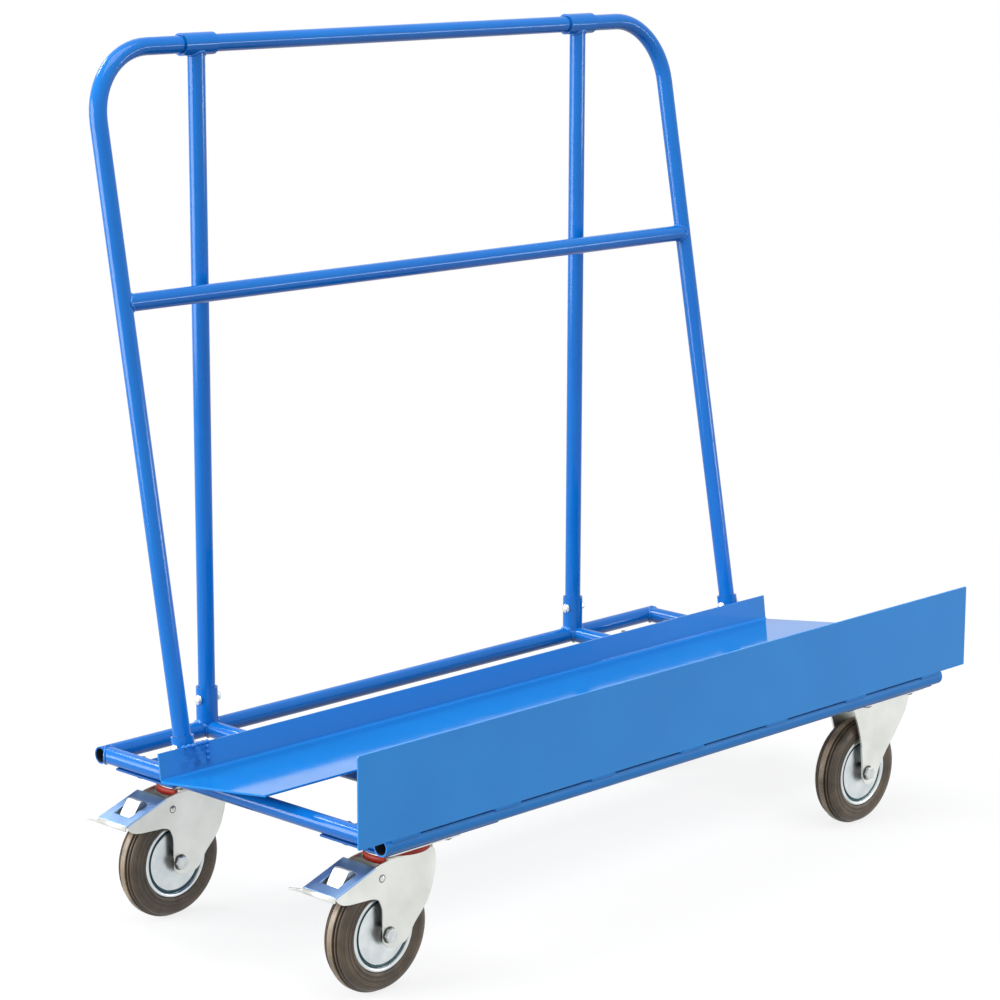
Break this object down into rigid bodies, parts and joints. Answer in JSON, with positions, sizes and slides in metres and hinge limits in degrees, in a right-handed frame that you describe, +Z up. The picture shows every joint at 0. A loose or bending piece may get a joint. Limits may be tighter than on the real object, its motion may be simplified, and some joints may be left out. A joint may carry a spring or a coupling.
{
  "type": "drywall cart",
  "caption": "Blue tube-frame board cart with a tilted tray, a low front plate and a leaning back hoop, on braked swivel casters and fixed casters.",
  "frame": {"origin": "on the floor, under the middle of the cart's box", "axes": "+X along the cart towards the fixed casters, +Y towards the back frame, +Z up"},
  "size_m": [1.3017, 0.6115, 1.228],
  "materials": {
    "blue_paint": "glossy powder coat over welded steel",
    "zinc_plate": "zinc plated pressed steel, satin",
    "bright_zinc": "bright zinc plated steel",
    "pedal_zinc": "blue passivated zinc on stamped steel",
    "dark_steel": "dark oiled steel",
    "red_ring": "moulded red plastic",
    "tyre_rubber": "grey-brown solid rubber"
  },
  "bodies": {
    "frame": {"rear_tube": "blue_paint", "front_tube": "blue_paint", "left_end_tube": "blue_paint", "right_end_tube": "blue_paint", "left_cross_tube": "blue_paint", "right_cross_tube": "blue_paint", "tray": "blue_paint", "tray_wedges": "blue_paint", "front_plate": "blue_paint", "plate_welds": "blue_paint", "caster_pads": "blue_paint", "hoop": "blue_paint", "mid_rail": "blue_paint", "left_upright": "blue_paint", "right_upright": "blue_paint", "rail_tees": "blue_paint", "upright_sockets": "blue_paint", "leg_sockets": "blue_paint", "socket_bolts": "bright_zinc", "socket_nuts": "bright_zinc", "caster_bolts": "dark_steel", "caster_nuts": "dark_steel", "front_left_top_plate": "zinc_plate", "rear_left_top_plate": "zinc_plate", "king_pins": "zinc_plate", "front_left_dust_ring": "red_ring", "rear_left_dust_ring": "red_ring", "front_right_fork": "zinc_plate", "front_right_axle_bolt": "bright_zinc", "front_right_axle_nut": "bright_zinc", "rear_right_fork": "zinc_plate", "rear_right_axle_bolt": "bright_zinc", "rear_right_axle_nut": "bright_zinc"},
    "front_left_caster": {"front_left_fork": "zinc_plate", "front_left_pedal_rivets": "zinc_plate", "front_left_axle_bolt": "bright_zinc", "front_left_axle_nut": "bright_zinc"},
    "front_left_brake": {"front_left_pedal": "pedal_zinc", "front_left_brake_shoe": "dark_steel"},
    "front_left_wheel": {"front_left_tyre": "tyre_rubber", "front_left_rim": "bright_zinc", "front_left_hub": "dark_steel"},
    "front_right_wheel": {"front_right_tyre": "tyre_rubber", "front_right_rim": "bright_zinc", "front_right_hub": "dark_steel"},
    "rear_left_caster": {"rear_left_fork": "zinc_plate", "rear_left_pedal_rivets": "zinc_plate", "rear_left_axle_bolt": "bright_zinc", "rear_left_axle_nut": "bright_zinc"},
    "rear_left_brake": {"rear_left_pedal": "pedal_zinc", "rear_left_brake_shoe": "dark_steel"},
    "rear_left_wheel": {"rear_left_tyre": "tyre_rubber", "rear_left_rim": "bright_zinc", "rear_left_hub": "dark_steel"},
    "rear_right_wheel": {"rear_right_tyre": "tyre_rubber", "rear_right_rim": "bright_zinc", "rear_right_hub": "dark_steel"}
  },
  "joints": [
    {"name": "front_left_swivel", "type": "hinge", "parent": "frame", "child": "front_left_caster", "pos_m": [-0.507, -0.22765, 0.2075], "axis": [0, 0, 1], "continuous": true},
    {"name": "front_left_roll", "type": "hinge", "parent": "front_left_caster", "child": "front_left_wheel", "pos_m": [-0.548, -0.22765, 0.0835], "axis": [0, 1, 0], "continuous": true},
    {"name": "front_left_brake_pedal", "type": "hinge", "parent": "front_left_caster", "child": "front_left_brake", "pos_m": [-0.56, -0.22765, 0.1635], "axis": [0, 1, 0], "range_deg": [0, 20]},
    {"name": "front_right_roll", "type": "hinge", "parent": "frame", "child": "front_right_wheel", "pos_m": [0.478, -0.22765, 0.0835], "axis": [0, 1, 0], "continuous": true},
    {"name": "rear_left_swivel", "type": "hinge", "parent": "frame", "child": "rear_left_caster", "pos_m": [-0.507, 0.19535, 0.2075], "axis": [0, 0, 1], "continuous": true},
    {"name": "rear_left_roll", "type": "hinge", "parent": "rear_left_caster", "child": "rear_left_wheel", "pos_m": [-0.548, 0.19535, 0.0835], "axis": [0, 1, 0], "continuous": true},
    {"name": "rear_left_brake_pedal", "type": "hinge", "parent": "rear_left_caster", "child": "rear_left_brake", "pos_m": [-0.56, 0.19535, 0.1635], "axis": [0, 1, 0], "range_deg": [0, 20]},
    {"name": "rear_right_roll", "type": "hinge", "parent": "frame", "child": "rear_right_wheel", "pos_m": [0.478, 0.19535, 0.0835], "axis": [0, 1, 0], "continuous": true}
  ]
}
